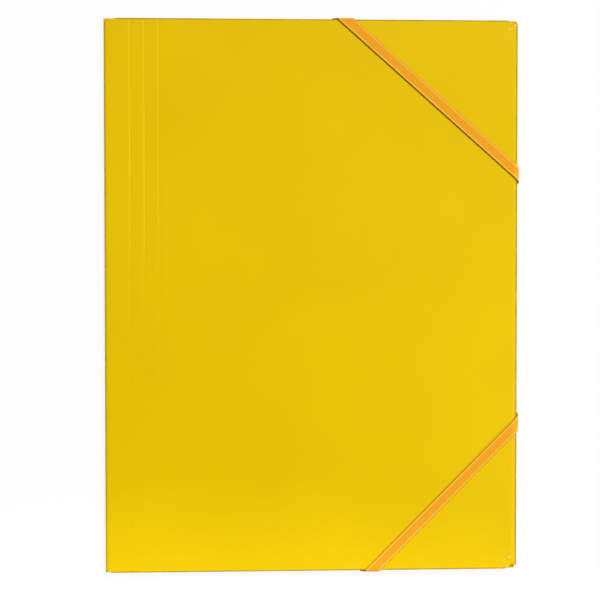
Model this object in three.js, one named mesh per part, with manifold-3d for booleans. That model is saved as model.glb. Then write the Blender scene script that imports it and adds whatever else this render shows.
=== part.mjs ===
// Elastic folder: a three-flap folder of glossy board, lying closed on its back, with two flat elastic
// bands across its free corners. Millimetres. X points to the free edge, Y up the page and Z up.
// The origin is on the ground below the middle of the folder.

import * as THREE from "three";
import { mergeVertices } from "three/addons/utils/BufferGeometryUtils.js";
import Module from "manifold-3d";

const wasm = await Module();
wasm.setup();

// The closed folder
const FOLDER_WIDTH = 240;
const FOLDER_HEIGHT = 320;
const CARD_THICKNESS = 0.5;
const CARD_GAP = 0.25;

// Front cover
const FRONT_INSET_TOP = 1.8;
const FRONT_INSET_BOTTOM = 3.1;
const FRONT_CORNER_RADIUS = 5.5;
const TOP_RELIEF_LENGTH = 7.6;
const TOP_RELIEF_DEPTH = 1.7;
const BOTTOM_RELIEF_LENGTH = 4;
const BOTTOM_RELIEF_DEPTH = 0.8;

// Creases pressed into the front cover beside the spine
const CREASE_COUNT = 3;
const CREASE_OFFSET = 14.8;
const CREASE_PITCH = 8.3;
const CREASE_WIDTH = 1;
const CREASE_DEPTH = 0.2;

// Flaps on the back cover
const END_FLAP_DEPTH = 75;
const END_FLAP_START = 14;
const END_FLAP_TAPER = 10;
const END_FLAP_RADIUS = 8;
const SIDE_FLAP_DEPTH = 100;
const SIDE_FLAP_START = 2;
const SIDE_FLAP_TAPER = 14;
const SIDE_FLAP_RADIUS = 10;
const BACK_CORNER_RADIUS = 1;

// Elastic bands
const BAND_WIDTH = 6.5;
const BAND_THICKNESS = 0.7;
const BAND_CLEARANCE = 0.25;
const BAND_RIBS = 5;
const BAND_RIB_DEPTH = 0.1;
const BAND_END_OVERHANG = 6;
const TOP_BAND_ALONG_TOP = 100.2;
const TOP_BAND_DOWN_SIDE = 88.6;
const BOTTOM_BAND_ALONG_BOTTOM = 84.8;
const BOTTOM_BAND_UP_SIDE = 85;

// Hollow rivets that hold the band ends
const RIVET_EDGE_DISTANCE = 25;
const RIVET_BORE_RADIUS = 1.4;
const RIVET_SHANK_RADIUS = 1.8;
const RIVET_HEAD_RADIUS = 4;
const RIVET_HEAD_THICKNESS = 0.4;
const RIVET_CLINCH_RADIUS = 3;
const RIVET_CLINCH_THICKNESS = 0.3;
const RIVET_CLEARANCE = 0.1;
const RIVET_HOLE_CLEARANCE = 0.3;

// Finishes
const CARD_COLOUR = 0xeac301;
const BAND_COLOUR = 0xffa514;
const RIVET_COLOUR = 0xcfcdc6;

// Smoothness of round stretches
const BEND_STEPS = 8;
const CORNER_STEPS = 4;
const CREASE_STEPS = 3;
const RIVET_STEPS = 24;

// Margin by which cutting shapes run past the card that they cut
const CUT_MARGIN = 2;

// Heights of the layers, from the ground up
const backLow = RIVET_HEAD_THICKNESS + RIVET_CLEARANCE + BAND_THICKNESS + BAND_CLEARANCE;
const backHigh = backLow + CARD_THICKNESS;
const clinchLow = backHigh + RIVET_CLEARANCE;
const clinchHigh = clinchLow + RIVET_CLINCH_THICKNESS;
const endFlapLow = clinchHigh + CARD_GAP;
const endFlapHigh = endFlapLow + CARD_THICKNESS;
const sideFlapLow = endFlapHigh + CARD_GAP;
const sideFlapHigh = sideFlapLow + CARD_THICKNESS;
const frontLow = sideFlapHigh + CARD_GAP;
const frontHigh = frontLow + CARD_THICKNESS;

// Outer radii of the three kinds of fold
const spineRadius = (frontHigh - backLow) / 2;
const endFoldRadius = (endFlapHigh - backLow) / 2;
const sideFoldRadius = (sideFlapHigh - backLow) / 2;

const right = FOLDER_WIDTH / 2;
const left = -right;
const top = FOLDER_HEIGHT / 2;
const bottom = -top;

// Solids

function toSolid(geometry) {
  const bare = geometry.clone();
  bare.deleteAttribute("normal");
  bare.deleteAttribute("uv");
  const merged = mergeVertices(bare);
  return new wasm.Manifold(new wasm.Mesh({
    numProp: 3,
    vertProperties: new Float32Array(merged.attributes.position.array),
    triVerts: new Uint32Array(merged.index.array),
  }));
}

function toGeometry(solid) {
  const mesh = solid.getMesh();
  const indexed = new THREE.BufferGeometry();
  indexed.setAttribute("position", new THREE.BufferAttribute(mesh.vertProperties, 3));
  indexed.setIndex(new THREE.BufferAttribute(mesh.triVerts, 1));
  const geometry = indexed.toNonIndexed();
  geometry.computeVertexNormals();
  return geometry;
}

// An upright prism over a plan outline, from one height to another
function prism(outline, low, high) {
  const geometry = new THREE.ExtrudeGeometry(outline, {
    depth: high - low,
    bevelEnabled: false,
    curveSegments: CORNER_STEPS,
  });
  geometry.translate(0, 0, low);
  return toSolid(geometry);
}

// A round pin through the card at a place in plan, used to cut a hole
function holePin(place, radius, low, high) {
  const geometry = new THREE.CylinderGeometry(radius, radius, high - low, RIVET_STEPS);
  geometry.rotateX(Math.PI / 2);
  geometry.translate(place.x, place.y, (low + high) / 2);
  return toSolid(geometry);
}

// A profile drawn in X and Z, carried along Y and centred on the middle of the page
function alongPage(profile, length, steps) {
  const geometry = new THREE.ExtrudeGeometry(profile, {
    depth: length,
    bevelEnabled: false,
    curveSegments: steps,
  });
  geometry.translate(0, 0, -length / 2);
  geometry.rotateX(Math.PI / 2);
  return geometry;
}

// Fold of the sheet: a half ring with short flat tails that lie in the two layers it joins.
// It bulges to -X by its radius, and turning it about Z aims it at the other edges of the page.
function fold(radius, length, turn, place) {
  const tail = CARD_THICKNESS;
  const profile = new THREE.Shape();
  profile.moveTo(tail, 0);
  profile.lineTo(0, 0);
  profile.absarc(0, radius, radius, -Math.PI / 2, Math.PI / 2, true);
  profile.lineTo(tail, 2 * radius);
  profile.lineTo(tail, 2 * radius - CARD_THICKNESS);
  profile.lineTo(0, 2 * radius - CARD_THICKNESS);
  profile.absarc(0, radius, radius - CARD_THICKNESS, Math.PI / 2, -Math.PI / 2, false);
  profile.lineTo(tail, CARD_THICKNESS);
  profile.closePath();
  const geometry = alongPage(profile, length, BEND_STEPS);
  geometry.rotateZ(turn);
  geometry.translate(place.x, place.y, backLow);
  return toSolid(geometry);
}

// Outline of the sheet's parts, in plan

function frontEdge(y) {
  const share = (top - y) / FOLDER_HEIGHT;
  return right - FRONT_INSET_TOP - share * (FRONT_INSET_BOTTOM - FRONT_INSET_TOP);
}

function frontOutline() {
  const radius = FRONT_CORNER_RADIUS;
  const start = left + spineRadius;
  const outline = new THREE.Shape();
  outline.moveTo(start, bottom);
  outline.lineTo(frontEdge(bottom) - radius, bottom);
  outline.quadraticCurveTo(frontEdge(bottom), bottom, frontEdge(bottom + radius), bottom + radius);
  outline.lineTo(frontEdge(top - radius), top - radius);
  outline.quadraticCurveTo(frontEdge(top), top, frontEdge(top) - radius, top);
  outline.lineTo(start, top);
  outline.closePath();
  return outline;
}

// The back cover steps in by the fold's radius wherever a flap is folded over
function backOutline() {
  const foldX = right - sideFoldRadius;
  const foldY = top - endFoldRadius;
  const endFlapReach = right - END_FLAP_START;
  const sideFlapReach = top - SIDE_FLAP_START;
  const radius = BACK_CORNER_RADIUS;
  const outline = new THREE.Shape();
  outline.moveTo(left + spineRadius, bottom);
  outline.lineTo(-endFlapReach, bottom);
  outline.lineTo(-endFlapReach, -foldY);
  outline.lineTo(endFlapReach, -foldY);
  outline.lineTo(endFlapReach, bottom);
  outline.lineTo(right - radius, bottom);
  outline.absarc(right - radius, bottom + radius, radius, -Math.PI / 2, 0, false);
  outline.lineTo(right, -sideFlapReach);
  outline.lineTo(foldX, -sideFlapReach);
  outline.lineTo(foldX, sideFlapReach);
  outline.lineTo(right, sideFlapReach);
  outline.lineTo(right, top - radius);
  outline.absarc(right - radius, top - radius, radius, 0, Math.PI / 2, false);
  outline.lineTo(endFlapReach, top);
  outline.lineTo(endFlapReach, foldY);
  outline.lineTo(-endFlapReach, foldY);
  outline.lineTo(-endFlapReach, top);
  outline.lineTo(left + spineRadius, top);
  outline.closePath();
  return outline;
}

// A flap that reaches from its fold line at the given half length to its depth, narrowing on the way.
// It is drawn with the fold along X and the flap reaching to -Y.
function flapOutline(halfLength, depth, taper, radius) {
  const tip = halfLength - taper;
  const slant = taper / depth;
  const outline = new THREE.Shape();
  outline.moveTo(halfLength, 0);
  outline.lineTo(-halfLength, 0);
  outline.lineTo(-tip - radius * slant, radius - depth);
  outline.quadraticCurveTo(-tip, -depth, radius - tip, -depth);
  outline.lineTo(tip - radius, -depth);
  outline.quadraticCurveTo(tip, -depth, tip + radius * slant, radius - depth);
  outline.closePath();
  return outline;
}

// The flap and its fold, turned to face its edge of the page
function flap(outline, halfLength, radius, low, turn, place) {
  const geometry = new THREE.ExtrudeGeometry(outline, {
    depth: CARD_THICKNESS,
    bevelEnabled: false,
    curveSegments: CORNER_STEPS,
  });
  geometry.rotateZ(turn);
  geometry.translate(place.x, place.y, low);
  return toSolid(geometry).add(fold(radius, 2 * halfLength, turn - Math.PI / 2, place));
}

// Creases

// Circular segment as deep and as wide as a crease, hanging from a level in the front cover
function creaseBar(x, level, length) {
  const half = CREASE_WIDTH / 2;
  const arcRadius = (half * half + CREASE_DEPTH * CREASE_DEPTH) / (2 * CREASE_DEPTH);
  const halfAngle = Math.asin(half / arcRadius);
  const centre = level - CREASE_DEPTH + arcRadius;
  const profile = new THREE.Shape();
  profile.moveTo(x - half, level);
  profile.absarc(x, centre, arcRadius, -Math.PI / 2 - halfAngle, -Math.PI / 2 + halfAngle, false);
  profile.lineTo(x + half, level);
  profile.closePath();
  return toSolid(alongPage(profile, length, CREASE_STEPS));
}

function creasePlaces() {
  const first = left + CREASE_OFFSET;
  return Array.from({ length: CREASE_COUNT }, (_, i) => first + i * CREASE_PITCH);
}

// The front cover's corner at the spine is cut back, so that it clears the fold. side is 1 at the top of
// the page and -1 at its bottom.
function spineRelief(side, length, depth) {
  const outside = side * (top + CUT_MARGIN);
  const inside = side * (top - depth);
  const start = left + spineRadius;
  const end = start + length;
  const outline = new THREE.Shape();
  outline.moveTo(left - CUT_MARGIN, outside);
  outline.lineTo(left - CUT_MARGIN, inside);
  outline.lineTo(start, inside);
  outline.quadraticCurveTo((start + end) / 2, side * top, end, side * top);
  outline.lineTo(end, outside);
  outline.closePath();
  return prism(outline, backLow + spineRadius, frontHigh + CUT_MARGIN);
}

// The folder itself: one sheet, folded

function makeCover(rivetPlaces) {
  const endFlapHalf = right - END_FLAP_START;
  const sideFlapHalf = top - SIDE_FLAP_START;
  const endFlap = flapOutline(endFlapHalf, END_FLAP_DEPTH - endFoldRadius, END_FLAP_TAPER, END_FLAP_RADIUS);
  const sideFlap = flapOutline(
    sideFlapHalf, SIDE_FLAP_DEPTH - sideFoldRadius, SIDE_FLAP_TAPER, SIDE_FLAP_RADIUS,
  );
  const topFold = { x: 0, y: top - endFoldRadius };
  const bottomFold = { x: 0, y: endFoldRadius - top };
  const sideFold = { x: right - sideFoldRadius, y: 0 };
  const spineFold = { x: left + spineRadius, y: 0 };
  let sheet = prism(backOutline(), backLow, backHigh)
    .add(fold(spineRadius, FOLDER_HEIGHT, 0, spineFold))
    .add(prism(frontOutline(), frontLow, frontHigh))
    .add(flap(endFlap, endFlapHalf, endFoldRadius, endFlapLow, 0, topFold))
    .add(flap(endFlap, endFlapHalf, endFoldRadius, endFlapLow, Math.PI, bottomFold))
    .add(flap(sideFlap, sideFlapHalf, sideFoldRadius, sideFlapLow, -Math.PI / 2, sideFold));
  for (const x of creasePlaces()) {
    sheet = sheet.add(creaseBar(x, frontLow, FOLDER_HEIGHT));
    sheet = sheet.subtract(creaseBar(x, frontHigh, FOLDER_HEIGHT + CUT_MARGIN));
  }
  sheet = sheet.subtract(spineRelief(1, TOP_RELIEF_LENGTH, TOP_RELIEF_DEPTH));
  sheet = sheet.subtract(spineRelief(-1, BOTTOM_RELIEF_LENGTH, BOTTOM_RELIEF_DEPTH));
  for (const place of rivetPlaces) {
    const radius = RIVET_SHANK_RADIUS + RIVET_HOLE_CLEARANCE;
    sheet = sheet.subtract(holePin(place, radius, backLow - CUT_MARGIN, backHigh + CARD_GAP));
  }
  return toGeometry(sheet);
}

// Bands

// A band goes round an edge like a belt round two pulleys: a small one at the front cover's free edge,
// and the fold of the flap below it. The small one sits as far inside the edge as the band lies off the
// board, which keeps the bend clear of the corner. The route is measured from where the band leaves the
// front cover's face, and gives the distance from the middle of the page, the height and the way out.
function beltRoute(coverEdge, foldEdge, foldRadius) {
  const inset = BAND_CLEARANCE;
  const upper = { x: coverEdge - inset, z: frontHigh - inset, r: inset + BAND_CLEARANCE };
  const lower = { x: foldEdge - foldRadius, z: backLow + foldRadius, r: foldRadius + BAND_CLEARANCE };
  const dx = lower.x - upper.x;
  const dz = lower.z - upper.z;
  const lean = Math.atan2(dz, dx) + Math.acos((upper.r - lower.r) / Math.hypot(dx, dz));
  const upperTurn = Math.PI / 2 - lean;
  const lowerTurn = lean + Math.PI / 2;
  const straight = Math.sqrt(dx * dx + dz * dz - (upper.r - lower.r) ** 2);
  const onUpper = upper.r * upperTurn;
  const onLower = lower.r * lowerTurn;
  const total = onUpper + straight + onLower;
  const steps = [];
  for (let i = 0; i <= CORNER_STEPS; i += 1) steps.push((onUpper * i) / CORNER_STEPS);
  for (let i = 0; i <= BEND_STEPS; i += 1) steps.push(onUpper + straight + (onLower * i) / BEND_STEPS);
  const rivet = upper.x + total + RIVET_EDGE_DISTANCE - foldRadius;

  function at(distance) {
    if (distance <= 0) return { out: upper.x + distance, z: upper.z + upper.r, angle: Math.PI / 2 };
    if (distance >= total) {
      return { out: lower.x - (distance - total), z: lower.z - lower.r, angle: -Math.PI / 2 };
    }
    if (distance <= onUpper) return onPulley(upper, Math.PI / 2 - distance / upper.r);
    if (distance >= onUpper + straight) {
      return onPulley(lower, lean - (distance - onUpper - straight) / lower.r);
    }
    const leaving = onPulley(upper, lean);
    const run = distance - onUpper;
    return { out: leaving.out + run * Math.sin(lean), z: leaving.z - run * Math.cos(lean), angle: lean };
  }

  return { start: upper.x, steps, rivet, at };
}

function onPulley(pulley, angle) {
  return {
    out: pulley.x + pulley.r * Math.cos(angle),
    z: pulley.z + pulley.r * Math.sin(angle),
    angle,
  };
}

// Section of the woven band: flat inside, with lengthwise ribs outside and softened edges.
// Each point has its place across the band and its height above the inner face.
function bandSection() {
  const half = BAND_WIDTH / 2;
  const shoulder = BAND_THICKNESS / 3;
  const ribWidth = (BAND_WIDTH - 2 * shoulder) / BAND_RIBS;
  const section = [{ across: half - shoulder, up: 0 }, { across: half, up: shoulder }];
  section.push({ across: half, up: BAND_THICKNESS - shoulder });
  for (let i = 0; i <= 2 * BAND_RIBS; i += 1) {
    const valley = i % 2 === 0 ? BAND_RIB_DEPTH : 0;
    section.push({ across: half - shoulder - (i * ribWidth) / 2, up: BAND_THICKNESS - valley });
  }
  section.push({ across: -half, up: BAND_THICKNESS - shoulder });
  section.push({ across: -half, up: shoulder }, { across: shoulder - half, up: 0 });
  return section;
}

// A band lies on one straight line when the folder is unfolded, so its ends on the back cover run on in
// the same line. side is 1 for the corner at the top of the page and -1 for the one at its bottom.
// A distance along the line is counted from where it crosses the top or bottom edge.
function bandLine(side, alongEnd, alongSide) {
  const from = new THREE.Vector2(right - alongEnd, top);
  const to = new THREE.Vector2(right, top - alongSide);
  const way = to.clone().sub(from).normalize();
  const across = new THREE.Vector2(-way.y, way.x);
  const endRoute = beltRoute(top, top, endFoldRadius);
  const sideRoute = beltRoute(frontEdge(side * to.y), right, sideFoldRadius);

  // Where a point of the unfolded band lies on the folder
  function place(flat, up) {
    const beyondSide = flat.x > sideRoute.start;
    const route = beyondSide ? sideRoute : endRoute;
    const spot = route.at(beyondSide ? flat.x - route.start : flat.y - route.start);
    const out = spot.out + up * Math.cos(spot.angle);
    const z = spot.z + up * Math.sin(spot.angle);
    return new THREE.Vector3(beyondSide ? out : flat.x, side * (beyondSide ? flat.y : out), z);
  }

  function pointAt(distance, offset) {
    return from.clone().addScaledVector(way, distance).addScaledVector(across, offset);
  }

  // Distance along the line at which a point off its middle reaches a given x or y
  function reach(axis, value, offset) {
    return (value - from[axis] - offset * across[axis]) / way[axis];
  }

  const endRivet = reach("y", endRoute.rivet, 0);
  const sideRivet = reach("x", sideRoute.rivet, 0);
  return { endRoute, sideRoute, place, pointAt, reach, endRivet, sideRivet };
}

// Rows of points across the band, from its end on the back cover, round the top or bottom edge, over the
// front cover and round the free edge to its other end. Rows on a bend lie along the folder's edge.
function bandRows(line) {
  const section = bandSection();
  const rows = [];
  const addRow = (distanceFor) => {
    rows.push(section.map(({ across, up }) => line.place(line.pointAt(distanceFor(across), across), up)));
  };
  addRow(() => line.endRivet - BAND_END_OVERHANG);
  for (const step of [...line.endRoute.steps].reverse()) {
    addRow((across) => line.reach("y", line.endRoute.start + step, across));
  }
  for (const step of line.sideRoute.steps) {
    addRow((across) => line.reach("x", line.sideRoute.start + step, across));
  }
  addRow(() => line.sideRivet + BAND_END_OVERHANG);
  return rows;
}

// A closed skin over rows of points, with a cap on each end row
function loft(rows, flipped) {
  const size = rows[0].length;
  const positions = rows.flat().flatMap((p) => [p.x, p.y, p.z]);
  const triangles = [];
  const add = (a, b, c) => triangles.push(...(flipped ? [a, c, b] : [a, b, c]));
  for (let row = 0; row + 1 < rows.length; row += 1) {
    for (let i = 0; i < size; i += 1) {
      const a = row * size + i;
      const b = row * size + ((i + 1) % size);
      add(a, b, a + size);
      add(b, b + size, a + size);
    }
  }
  const section = bandSection().map(({ across, up }) => new THREE.Vector2(across, up));
  const last = (rows.length - 1) * size;
  for (const [a, b, c] of THREE.ShapeUtils.triangulateShape(section, [])) {
    add(a, c, b);
    add(last + a, last + b, last + c);
  }
  const geometry = new THREE.BufferGeometry();
  geometry.setAttribute("position", new THREE.Float32BufferAttribute(positions, 3));
  geometry.setIndex(triangles);
  return geometry;
}

function makeBand(line, side) {
  let band = toSolid(loft(bandRows(line), side < 0));
  for (const place of lineRivets(line)) {
    const radius = RIVET_SHANK_RADIUS + RIVET_HOLE_CLEARANCE;
    band = band.subtract(holePin(place, radius, 0, backLow));
  }
  return toGeometry(band);
}

function lineRivets(line) {
  return [line.endRivet, line.sideRivet].map((distance) => line.place(line.pointAt(distance, 0), 0));
}

// Rivets

// Half section of a hollow rivet: a dished head on the band, a shank through band and card, and an
// inner rim that is rolled over on the card
function makeRivet() {
  const soft = RIVET_HEAD_THICKNESS / 2;
  const profile = new THREE.Path();
  profile.moveTo(RIVET_BORE_RADIUS, RIVET_HEAD_THICKNESS);
  profile.quadraticCurveTo(RIVET_BORE_RADIUS, 0, RIVET_BORE_RADIUS + RIVET_HEAD_THICKNESS, 0);
  profile.lineTo(RIVET_HEAD_RADIUS - soft, 0);
  profile.quadraticCurveTo(RIVET_HEAD_RADIUS, 0, RIVET_HEAD_RADIUS, soft);
  profile.lineTo(RIVET_HEAD_RADIUS, RIVET_HEAD_THICKNESS);
  profile.lineTo(RIVET_SHANK_RADIUS, RIVET_HEAD_THICKNESS);
  profile.lineTo(RIVET_SHANK_RADIUS, clinchLow);
  profile.lineTo(RIVET_CLINCH_RADIUS, clinchLow);
  profile.lineTo(RIVET_CLINCH_RADIUS, (clinchLow + clinchHigh) / 2);
  profile.lineTo(RIVET_CLINCH_RADIUS - RIVET_CLINCH_THICKNESS / 2, clinchHigh);
  profile.lineTo(RIVET_BORE_RADIUS, clinchHigh);
  profile.lineTo(RIVET_BORE_RADIUS, RIVET_HEAD_THICKNESS);
  const geometry = new THREE.LatheGeometry(profile.getPoints(CORNER_STEPS), RIVET_STEPS);
  geometry.rotateX(Math.PI / 2);
  return geometry;
}

// The folder with its bands and rivets

function finish(color, roughness, metalness) {
  return new THREE.MeshStandardMaterial({ color, roughness, metalness });
}

function addPiece(group, name, geometry, material) {
  const piece = new THREE.Mesh(geometry, material);
  piece.name = name;
  group.add(piece);
  return piece;
}

function makeFolder() {
  const group = new THREE.Group();
  const topLine = bandLine(1, TOP_BAND_ALONG_TOP, TOP_BAND_DOWN_SIDE);
  const bottomLine = bandLine(-1, BOTTOM_BAND_ALONG_BOTTOM, BOTTOM_BAND_UP_SIDE);
  const rivets = {
    rivet_top_edge: lineRivets(topLine)[0],
    rivet_side_upper: lineRivets(topLine)[1],
    rivet_bottom_edge: lineRivets(bottomLine)[0],
    rivet_side_lower: lineRivets(bottomLine)[1],
  };
  addPiece(group, "folder_cover", makeCover(Object.values(rivets)), finish(CARD_COLOUR, 0.25, 0));
  addPiece(group, "band_top", makeBand(topLine, 1), finish(BAND_COLOUR, 0.75, 0));
  addPiece(group, "band_bottom", makeBand(bottomLine, -1), finish(BAND_COLOUR, 0.75, 0));
  for (const [name, place] of Object.entries(rivets)) {
    addPiece(group, name, makeRivet(), finish(RIVET_COLOUR, 0.3, 1)).position.set(place.x, place.y, 0);
  }
  return group;
}

export default makeFolder();
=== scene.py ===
"""Elastic folder in glossy yellow board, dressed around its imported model.

Lengths are metres in the frame of the model: X runs to the free edge, Y up the page and Z up.
"""

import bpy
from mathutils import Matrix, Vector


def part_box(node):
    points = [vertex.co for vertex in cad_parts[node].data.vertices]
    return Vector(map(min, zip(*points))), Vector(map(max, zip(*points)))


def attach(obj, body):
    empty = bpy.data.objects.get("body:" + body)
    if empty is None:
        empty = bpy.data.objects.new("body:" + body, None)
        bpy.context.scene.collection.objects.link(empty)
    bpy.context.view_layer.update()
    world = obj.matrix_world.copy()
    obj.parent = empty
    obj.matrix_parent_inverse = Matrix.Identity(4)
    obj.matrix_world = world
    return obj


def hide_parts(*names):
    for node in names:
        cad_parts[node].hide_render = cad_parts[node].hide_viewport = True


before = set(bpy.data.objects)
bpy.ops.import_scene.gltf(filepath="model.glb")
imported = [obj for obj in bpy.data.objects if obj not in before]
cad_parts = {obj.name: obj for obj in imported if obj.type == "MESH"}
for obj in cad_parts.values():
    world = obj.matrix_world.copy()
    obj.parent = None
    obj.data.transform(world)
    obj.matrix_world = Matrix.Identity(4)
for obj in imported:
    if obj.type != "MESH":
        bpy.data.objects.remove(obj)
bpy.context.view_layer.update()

import math
from contextlib import contextmanager

import bmesh
import bpy
import numpy as np
from bpy.props import FloatProperty, FloatVectorProperty, IntProperty, PointerProperty
from mathutils import Euler, Vector

bl_info = {
    "name": "Elastic Folder",
    "version": (1, 0, 0),
    "blender": (4, 5, 0),
    "location": "View3D > Sidebar > Folder",
    "description": "Makes the board, the elastic bands, the rivets and the studio of an elastic folder",
    "category": "Add Mesh",
}

MM = 0.001
BODY = "root"
WHITE = (1, 1, 1)

# The cover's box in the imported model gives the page's edges and the levels of the back and the front
COVER_LOW, COVER_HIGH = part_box("folder_cover")
RIGHT = COVER_HIGH.x
LEFT = COVER_LOW.x
TOP = COVER_HIGH.y
BACK_LOW = COVER_LOW.z
FRONT_HIGH = COVER_HIGH.z

# Steps of the sheet's grids down and across the page, along the front cover and the cut beside its
# spine, round the bends and across a crease
PAGE_STEPS = 96
WIDTH_STEPS = 53
FRONT_STEPS = 60
RELIEF_STEPS = 10
BEND_STEPS = 12
SPINE_STEPS = 16
CREASE_STEPS = 16

# Vertices nearer than this are one, and a corner's point is pulled in by this share of its radius
WELD_DISTANCE = 0.02 * MM
CORNER_PULL = 0.3

# Steps round a rivet and the hole for it, and along a quarter circle and the rim's half of its profile
RIVET_STEPS = 72
HOLE_STEPS = 48
QUARTER_STEPS = 6
RIM_STEPS = 8

# Where the lamps stand, what the lower one shines at, their widths in metres and angles in degrees
KEY_PLACE = (1.3, 2.1, 2.8)
KEY_ANGLE = 10
RIGHT_LAMP_PLACE = (0.8, -0.3, 0.75)
RIGHT_LAMP_WIDTH = 0.5
UNDER_LAMP_PLACE = (0.2, -0.3, -1.0)
UNDER_LAMP_WIDTH = 0.8
LOWER_LAMP_PLACE = (0.02, 0.5, 2.0)
LOWER_LAMP_TARGET = (-0.13, -1.35, 0)
LOWER_LAMP_ANGLE = 50
LOWER_LAMP_BLEND = 0.045
LOWER_LAMP_RADIUS = 0.05


# Settings


def length_setting(name, description, millimetres):
    return FloatProperty(name=name, description=description, default=millimetres * MM, unit="LENGTH")


def share_setting(name, description, share):
    return FloatProperty(name=name, description=description, default=share, subtype="FACTOR", min=0, max=1)


def power_setting(name, description, watts):
    return FloatProperty(name=name, description=description, default=watts, unit="POWER", min=0)


def colour_setting(name, description, colour):
    return FloatVectorProperty(name=name, description=description, default=colour, subtype="COLOR", size=3,
                               min=0, max=1)


class FolderBoardSettings(bpy.types.PropertyGroup):
    thickness: length_setting("Board thickness", "Thickness of the sheet", 0.5)
    layer_gap: length_setting("Layer gap", "Air between two layers of the sheet", 0.25)
    rivet_room: length_setting("Rivet room", "Height of the rivets' rims on the back cover", 0.4)
    inset_top: length_setting("Front inset at the top", "From the folder's edge to the front cover's", 1.8)
    inset_bottom: length_setting("Front inset at the bottom", "The same at the bottom of the page", 3.1)
    corner_radius: length_setting("Front corner radius", "Radius of the front cover's free corners", 5.0)
    relief_length: length_setting("Relief length", "Length of the cut beside the spine at the top", 7.6)
    relief_depth: length_setting("Relief depth", "Depth of the cut beside the spine at the top", 1.7)
    low_relief_length: length_setting("Lower relief length", "Length of the same cut at the bottom", 4)
    low_relief_depth: length_setting("Lower relief depth", "Depth of the same cut at the bottom", 0.8)
    crease_count: IntProperty(
        name="Creases", description="Number of creases beside the spine", default=3, min=0, max=6)
    crease_offset: length_setting("First crease", "Distance from the spine to the first crease", 14.8)
    crease_pitch: length_setting("Crease pitch", "Distance between two creases", 8.3)
    crease_width: length_setting("Crease width", "Width of a pressed crease", 1)
    crease_depth: length_setting("Crease depth", "Depth of a pressed crease", 0.06)
    end_flap_depth: length_setting("End flap depth", "Reach of the top and bottom flaps", 75)
    end_flap_start: length_setting("End flap start", "From the page's sides to the end flaps", 14)
    end_flap_taper: length_setting("End flap taper", "Narrowing of an end flap on each side", 10)
    end_flap_radius: length_setting("End flap radius", "Corner radius of an end flap", 8)
    side_flap_depth: length_setting("Side flap depth", "Reach of the side flap", 100)
    side_flap_start: length_setting("Side flap start", "From the page's top and bottom to the side flap", 2)
    side_flap_taper: length_setting("Side flap taper", "Narrowing of the side flap on each side", 14)
    side_flap_radius: length_setting("Side flap radius", "Corner radius of the side flap", 10)
    back_corner_radius: length_setting("Back corner radius", "Radius of the back's upper free corner", 1)
    edge_bevel: length_setting("Edge bevel", "Width by which a cut edge is rounded over", 0.2)
    hole_radius: length_setting("Hole radius", "Radius of the holes for the rivets", 2.1)
    gloss: share_setting("Gloss", "Strength of the coating's reflection", 0.18)
    gloss_colour: colour_setting("Gloss colour", "Colour of the glossy outside", (0.823, 0.546, 0.0004))
    # Painted highlight along the creases, mostly in the page's upper part
    crease_highlight: share_setting("Crease highlight", "How far the creases take the painted highlight's colour", 0.55)
    crease_highlight_colour: colour_setting("Crease highlight colour", "Colour of the painted highlight along a crease", (0.95, 0.70, 0.02))
    # Painted glints: pale flecks near the free corners
    glints: share_setting("Glints", "Strength of the flecks at the free corners", 0.7)
    glint_colour: colour_setting("Glint colour", "Colour of the flecks", (0.90, 0.80, 0.45))
    # Painted shade along the page's top, bottom and right-hand edges: its strength, colour and widths
    edge_shade: share_setting("Soil", "Strength of the painted shade along the edges", 0.9)
    edge_shade_colour: colour_setting("Edge shade colour", "Colour of the painted shade along the edges", (0.32, 0.20, 0.002))
    edge_shade_width: length_setting("Edge shade width", "Width of the painted shade along the top and the bottom", 0.8)
    side_edge_shade_width: length_setting("Side edge shade width", "Width of the painted shade along the side fold", 1.5)
    inner_colour: colour_setting("Inner colour", "Colour of the uncoated inside", (0.79, 0.50, 0.012))
    # The cut edges' own colour, made lighter than the board as a painted highlight along them
    core_and_highlight_colour: colour_setting("Core and highlight colour", "Colour of the cut edges, lighter than the board as a painted highlight", (0.86, 0.62, 0.09))


class FolderBandSettings(bpy.types.PropertyGroup):
    width: length_setting("Band width", "Width of the elastic", 6.5)
    thickness: length_setting("Band thickness", "Thickness of the elastic", 0.7)
    clearance: length_setting("Band clearance", "Distance from the elastic to the board", 0.25)
    ribs: IntProperty(name="Ribs", description="Number of lengthwise ribs", default=5, min=1, max=16)
    rib_depth: length_setting("Rib depth", "Depth of the grooves between ribs", 0.12)
    groove_shade: share_setting("Groove shade", "How far the grooves between ribs are darker", 0.55)
    weave_pitch: length_setting("Weave pitch", "Length of one stitch of the weave", 1.0)
    weave_depth: length_setting("Weave depth", "Relief of the cross weave", 0.05)
    top_along: length_setting("Upper band along", "From the corner to the upper band on the top edge", 100.2)
    top_down: length_setting("Upper band down", "From the corner to the upper band on the side", 88.6)
    bottom_along: length_setting("Lower band along", "From the corner to the lower band at the bottom", 84.8)
    bottom_up: length_setting("Lower band up", "From the corner to the lower band on the side", 85)
    rivet_distance: length_setting("Rivet distance", "From the page's edge to the rivets", 25)
    overhang: length_setting("End overhang", "Length of elastic beyond a rivet", 6)
    colour: colour_setting("Elastic colour", "Colour of the elastic", (1.0, 0.41, 0.012))
    edge_colour: colour_setting("Edge colour", "Colour of the stripes along its edges", (1.0, 0.56, 0.085))


class FolderRivetSettings(bpy.types.PropertyGroup):
    bore_radius: length_setting("Bore radius", "Radius of the hollow", 1.4)
    shank_radius: length_setting("Shank radius", "Outer radius of the shank", 1.8)
    head_radius: length_setting("Head radius", "Radius of the head", 4)
    head_thickness: length_setting("Head thickness", "Thickness of the head", 0.4)
    rim_radius: length_setting("Rim radius", "Radius of the rolled rim", 3)
    rim_thickness: length_setting("Rim thickness", "Thickness of the rolled rim", 0.3)
    rim_clearance: length_setting("Rim clearance", "From the board to the rolled rim", 0.1)
    colour: colour_setting("Metal colour", "Colour of the plated metal", (0.62, 0.61, 0.57))


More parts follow.
